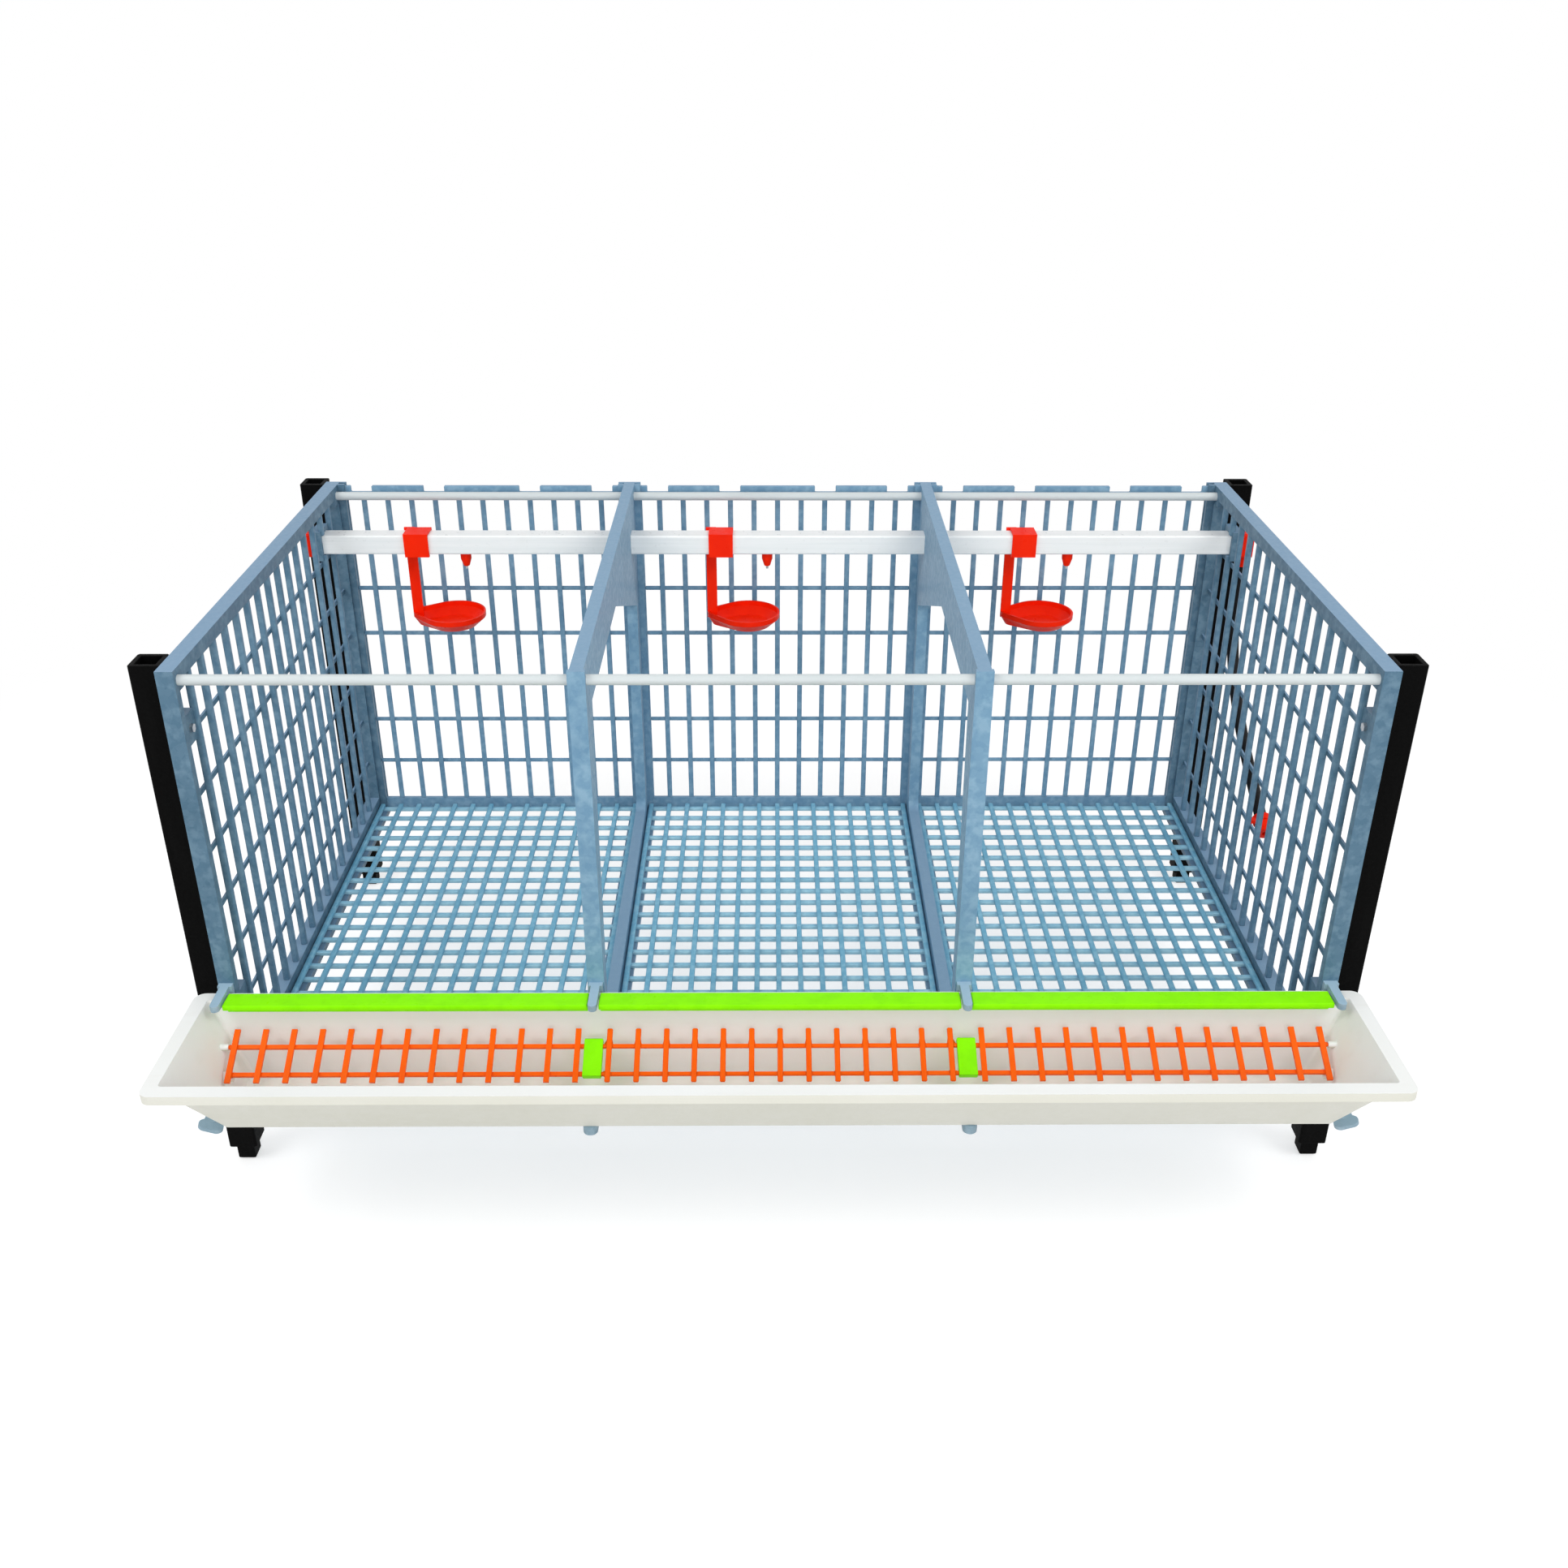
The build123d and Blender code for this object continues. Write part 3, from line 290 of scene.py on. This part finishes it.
def make_floor():
    """A pale floor that keeps the shadow, is white where it is lit and plain white further off."""
    half = floor_size / 2
    corners = [(-half, -half, 0), (half, -half, 0), (half, half, 0), (-half, half, 0)]
    mesh = bpy.data.meshes.new("floor")
    mesh.from_pydata(corners, [], [range(len(corners))])
    floor = add_object("floor", mesh)
    look = Look("floor")
    seen = seen_directly(look.tree)
    lift = look.add("ShaderNodeMath", {0: seen, 1: floor_lift}, operation="MULTIPLY")
    look.feed(look.shader.inputs["Base Color"], grey(floor_shade))
    look.feed(look.shader.inputs["Roughness"], floor_roughness)
    look.feed(look.shader.inputs["Specular IOR Level"], floor_shine)
    look.feed(look.shader.inputs["Emission Color"], white)
    look.feed(look.shader.inputs["Emission Strength"], lift.outputs[0])
    distance = look.add("ShaderNodeVectorMath", {0: look.place}, operation="LENGTH").outputs["Value"]
    limits = {"Value": distance, "From Min": floor_near, "From Max": floor_far, "To Max": seen}
    fade = look.add("ShaderNodeMapRange", limits, interpolation_type="SMOOTHSTEP").outputs["Result"]
    glow = look.add("ShaderNodeEmission").outputs["Emission"]
    layers = {"Fac": fade, 1: look.shader.outputs["BSDF"], 2: glow}
    blend = look.add("ShaderNodeMixShader", layers)
    look.feed(look.tree.nodes["Material Output"].inputs["Surface"], blend.outputs["Shader"])
    mesh.materials.append(look.material)


def mottled(look, base, pale, deep):
    """The colour of plastic with paler flecks and grains and cloudy darker patches."""
    flecks = look.spread(look.noise(scale=120, detail=4.0), low=0.46, high=0.64, most=0.60)
    clouds = look.spread(look.noise(scale=16), low=0.50, high=0.72, most=0.55)
    grains = look.spread(look.cells(scale=210), low=0.2, high=0.8, most=0.22)
    colour = look.mix(flecks, base, pale)
    colour = look.mix(clouds, colour, deep)
    return look.mix(grains, colour, pale)


def moulded(look, colour):
    """A satin moulded surface."""
    roughness = look.rough(least=0.34, most=0.52, scale=260)
    return look.done(colour, roughness, relief=look.noise(scale=700), depth=0.00012, shine=0.15)


def cage_blue(name, base, pale, deep, lit_top_and_wear):
    """Grey-blue plastic with painted light: its top faces are painted a lighter shade."""
    look = Look(name)
    colour = mottled(look, base, pale, deep)
    # painted light: faces that point up take the lighter top colour
    lit_top_share = look.spread(look.upward(), low=0.5, high=1.0, most=0.85)
    return moulded(look, look.mix(lit_top_share, colour, lit_top_and_wear))


def floor_blue():
    """Turquoise line bars over paler cross bars, for the floor panels."""
    look = Look("floor_blue")
    low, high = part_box("floor_panel_middle")
    middle = (low[2] + high[2]) / 2
    lines = mottled(
        look,
        base=rgb(0.17, 0.45, 0.64),
        pale=rgb(0.32, 0.61, 0.76),
        deep=rgb(0.13, 0.37, 0.55),
    )
    crosses = mottled(
        look,
        base=rgb(0.37, 0.66, 0.81),
        pale=rgb(0.50, 0.78, 0.89),
        deep=rgb(0.29, 0.57, 0.74),
    )
    upper = look.spread(look.height(), low=middle - layer_blend, high=middle + layer_blend)
    return moulded(look, look.mix(upper, crosses, lines))


def post_black():
    """Matt black plastic with upright scuffs, a fine grain and a little dust on top."""
    look = Look("post_black")
    streaks = look.noise(scale=90, detail=5.0, density=(1.0, 1.0, 0.12))
    scuffs = look.spread(streaks, low=0.52, high=0.75, most=0.5)
    colour = look.mix(scuffs, grey(0.0012), grey(0.004))
    dust = look.spread(look.upward(), low=0.5, high=1.0, most=0.10)
    colour = look.mix(dust, colour, rgb(0.018, 0.018, 0.017))
    roughness = look.rough(least=0.55, most=0.72, scale=420)
    grain = look.noise(scale=1300, detail=2.0)
    return look.done(colour, roughness, relief=grain, depth=0.0001, shine=0.05)


def rod_white():
    """White coated rod with a faint orange-peel skin and a few stains along it."""
    look = Look("rod_white")
    streaks = look.noise(scale=40, detail=4.0, density=(0.3, 1.0, 1.0))
    stains = look.spread(streaks, low=0.52, high=0.78, most=0.6)
    colour = look.mix(stains, rgb(0.58, 0.63, 0.64), rgb(0.46, 0.51, 0.53))
    roughness = look.rough(least=0.30, most=0.48, scale=300)
    skin = look.noise(scale=160, detail=2.0)
    return look.done(colour, roughness, relief=skin, depth=0.00025, shine=0.3)


def pipe_white():
    """Extruded white pipe with faint drawn lines and a few marks."""
    look = Look("pipe_white")
    streaks = look.noise(scale=420, density=(0.02, 1.0, 1.0))
    lines = look.spread(streaks, low=0.40, high=0.70)
    colour = look.mix(lines, rgb(0.91, 0.92, 0.92), rgb(0.86, 0.88, 0.88))
    marks = look.spread(look.noise(scale=30, detail=4.0), low=0.58, high=0.80, most=0.35)
    colour = look.mix(marks, colour, rgb(0.80, 0.80, 0.77))
    roughness = look.rough(least=0.26, most=0.42, scale=220)
    return look.done(colour, roughness, relief=lines, depth=0.00006)


def gloss_plastic(name, base, shade, haze):
    """Bright moulded plastic with flow marks and a light haze of wear."""
    look = Look(name)
    streaks = look.noise(scale=70, density=(1.0, 1.0, 0.4))
    flow = look.spread(streaks, low=0.42, high=0.68, most=0.7)
    colour = look.mix(flow, base, shade)
    lit_top_and_wear = look.spread(look.noise(scale=240, detail=5.0), low=0.58, high=0.78, most=0.35)
    colour = look.mix(lit_top_and_wear, colour, haze)
    roughness = look.rough(least=0.26, most=0.44, scale=180)
    skin = look.noise(scale=500, detail=2.0)
    return look.done(colour, roughness, relief=skin, depth=0.00008, shine=0.08)


def hose_black():
    """Black rubber with a dry bloom."""
    look = Look("hose_black")
    bloom = look.spread(look.noise(scale=150, detail=4.0), low=0.45, high=0.75, most=0.6)
    colour = look.mix(bloom, rgb(0.003, 0.003, 0.0035), rgb(0.010, 0.010, 0.011))
    roughness = look.rough(least=0.42, most=0.62, scale=350)
    return look.done(colour, roughness, relief=look.noise(scale=900), depth=0.0001, shine=0.15)


def steel():
    """Brushed stainless steel, with its lines upright."""
    look = Look("steel")
    look.feed(look.shader.inputs["Metallic"], metal)
    lines = look.noise(scale=900, density=(1.0, 1.0, 0.06))
    colour = look.mix(look.spread(lines, noise_low, noise_high), rgb(0.50, 0.50, 0.51), grey(0.66))
    roughness = look.spread(lines, noise_low, noise_high, least=0.24, most=0.40)
    return look.done(colour, roughness, relief=lines, depth=0.00003)


def trough_cream():
    """Cream moulded plastic, scuffed along its length, with painted light: faces that lean up, mostly
    within the trough, are painted whiter.
    """
    look = Look("trough_cream")
    clouds = look.spread(look.noise(scale=11), low=0.38, high=0.68)
    outside = look.mix(clouds, rgb(0.74, 0.735, 0.655), rgb(0.71, 0.705, 0.615))
    painted_lit_inside = look.mix(clouds, rgb(0.865, 0.88, 0.865), rgb(0.85, 0.865, 0.84))
    # painted light: faces that lean up are painted whiter than the outside
    colour = look.mix(look.spread(look.upward(), low=0.01, high=0.08), outside, painted_lit_inside)
    streaks = look.noise(scale=60, detail=6.0, density=(0.15, 1.0, 1.0))
    scuffs = look.spread(streaks, low=0.55, high=0.78, most=0.30)
    colour = look.mix(scuffs, colour, rgb(0.76, 0.75, 0.70))
    roughness = look.rough(least=0.30, most=0.50, scale=150, detail=4.0)
    return look.done(colour, roughness, relief=look.noise(scale=420), depth=0.0001)


def make_looks():
    """The material of each slot in the record, and darker copies of the blue with painted shade for
    the side walls and their bars.
    """
    return {
        # painted light: the top faces take a slightly lighter painted shade
        "cage_blue": cage_blue(
            "cage_blue",
            base=rgb(0.165, 0.315, 0.46),
            pale=rgb(0.29, 0.46, 0.59),
            deep=rgb(0.11, 0.235, 0.365),
            lit_top_and_wear=rgb(0.21, 0.345, 0.49),
        ),
        # painted shade: a darker copy of the cage blue for the side walls, with a lighter painted top
        "shaded_wall_blue": cage_blue(
            "shaded_wall_blue",
            base=rgb(0.085, 0.17, 0.25),
            pale=rgb(0.17, 0.28, 0.37),
            deep=rgb(0.055, 0.12, 0.18),
            lit_top_and_wear=rgb(0.21, 0.34, 0.49),
        ),
        # painted shade: a darker copy of the cage blue for the extra upright bars, with a lighter
        # painted top
        "shaded_upright_blue": cage_blue(
            "shaded_upright_blue",
            base=rgb(0.11, 0.22, 0.325),
            pale=rgb(0.21, 0.34, 0.45),
            deep=rgb(0.075, 0.16, 0.24),
            lit_top_and_wear=rgb(0.21, 0.34, 0.49),
        ),
        # painted light: the brackets' top faces take a lighter painted shade
        "bracket_blue": cage_blue(
            "bracket_blue",
            base=rgb(0.25, 0.37, 0.45),
            pale=rgb(0.42, 0.55, 0.64),
            deep=rgb(0.17, 0.26, 0.33),
            lit_top_and_wear=rgb(0.34, 0.50, 0.62),
        ),
        "red": gloss_plastic(
            "red",
            base=rgb(0.99, 0.020, 0.001),
            shade=rgb(0.92, 0.014, 0.001),
            haze=rgb(0.99, 0.035, 0.006),
        ),
        "lime": gloss_plastic(
            "lime",
            base=rgb(0.27, 0.93, 0.001),
            shade=rgb(0.23, 0.84, 0.001),
            haze=rgb(0.33, 0.94, 0.01),
        ),
        "orange": gloss_plastic(
            "orange",
            base=rgb(0.98, 0.125, 0.003),
            shade=rgb(0.94, 0.105, 0.002),
            haze=rgb(0.98, 0.16, 0.01),
        ),
        "floor_blue": floor_blue(),
        "post_black": post_black(),
        "rod_white": rod_white(),
        "pipe_white": pipe_white(),
        "hose_black": hose_black(),
        "steel": steel(),
        "trough_cream": trough_cream(),
    }


def round_edges(part, width):
    """Close the seams between a part's faces and round its sharp edges a little."""
    weld = part.modifiers.new("seams", "WELD")
    weld.merge_threshold = weld_distance
    bevel = part.modifiers.new("edges", "BEVEL")
    bevel.width = width
    bevel.segments = edge_segments
    bevel.limit_method = "ANGLE"
    bevel.angle_limit = edge_angle
    part.modifiers.new("shading", "WEIGHTED_NORMAL")


def dress_parts(looks):
    """Give each part its slot's material, or for the side walls a darker copy that paints their shade,
    and rounded edges.
    """
    for part in frame["record"]["subparts"]:
        node = nodes[part["node"]]
        slot = part["material_slot"]
        is_wall = part["node"].startswith("side_wall")
        node.data.materials.clear()
        # painted shade: the side walls take the darker copy of the blue
        node.data.materials.append(looks["shaded_wall_blue" if is_wall else slot])
        if slot in edge_width:
            round_edges(node, edge_width[slot])


def add_block(mesh, x_range, y_range, z_range):
    """A box between pairs of limits, added to a mesh."""
    corners = [mesh.verts.new((x, y, z)) for x in x_range for y in y_range for z in z_range]
    for side in block_sides:
        mesh.faces.new([corners[index] for index in side])


def make_uprights(side, look):
    """Deeper upright bars round a side wall's own, open where the water pipe goes through."""
    low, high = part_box("side_wall_" + side)
    pipe_low, pipe_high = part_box("water_pipe")
    if side == "right":
        x_range = (high[0] - upright_inner, high[0] - upright_outer)
    else:
        x_range = (low[0] + upright_outer, low[0] + upright_inner)
    top = high[2] - upright_drop
    foot = top - upright_height
    under_pipe = pipe_low[2] - pipe_clearance
    over_pipe = pipe_high[2] + pipe_clearance
    mesh = bmesh.new()
    for index in range(upright_count):
        middle = low[1] + upright_first + index * upright_pitch
        y_range = (middle - upright_width / 2, middle + upright_width / 2)
        before = y_range[1] < pipe_low[1] - pipe_clearance
        behind = y_range[0] > pipe_high[1] + pipe_clearance
        runs = [(foot, top)] if before or behind else [(foot, under_pipe), (over_pipe, top)]
        for z_range in runs:
            add_block(mesh, x_range, y_range, z_range)
    data = bpy.data.meshes.new("wall_uprights_" + side)
    mesh.to_mesh(data)
    mesh.free()
    data.materials.append(look)
    bars = add_object("wall_uprights_" + side, data)
    round_edges(bars, edge_width["cage_blue"])
    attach(bars, "cage")


def make_hose(look):
    """The hose hangs from the elbow to its connector on one smooth curve."""
    low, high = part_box("hose")
    pipe_low, pipe_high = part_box("water_pipe")
    exit_place = ((low[0] + high[0]) / 2, (pipe_low[1] + pipe_high[1]) / 2, high[2])
    line = bpy.data.curves.new("hose_tube", "CURVE")
    line.dimensions = "3D"
    spline = line.splines.new("NURBS")
    spline.points.add(len(hose_drop) - 1)
    for point, (back, up) in zip(spline.points, hose_drop):
        point.co = (exit_place[0], exit_place[1] + back, exit_place[2] + up, 1.0)
    spline.order_u = hose_order
    spline.use_endpoint_u = True
    line.resolution_u = hose_steps
    line.bevel_depth = hose_diameter / 2
    line.bevel_resolution = hose_roundness
    line.materials.append(look)
    hose = add_object("hose_tube", line)
    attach(hose, "cage")
    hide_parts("hose")


make_camera()
looks = make_looks()
make_hose(looks["hose_black"])
dress_parts(looks)
# painted shade: the extra bars take a darker copy of the blue
for side in ("left", "right"):
    make_uprights(side, looks["shaded_upright_blue"])
make_floor()
make_sky()
for name, place in key_places.items():
    make_light(name, place, key_size, key_power)
make_light("fill", fill_place, fill_size, fill_power)
scene.view_settings.view_transform = "Standard"
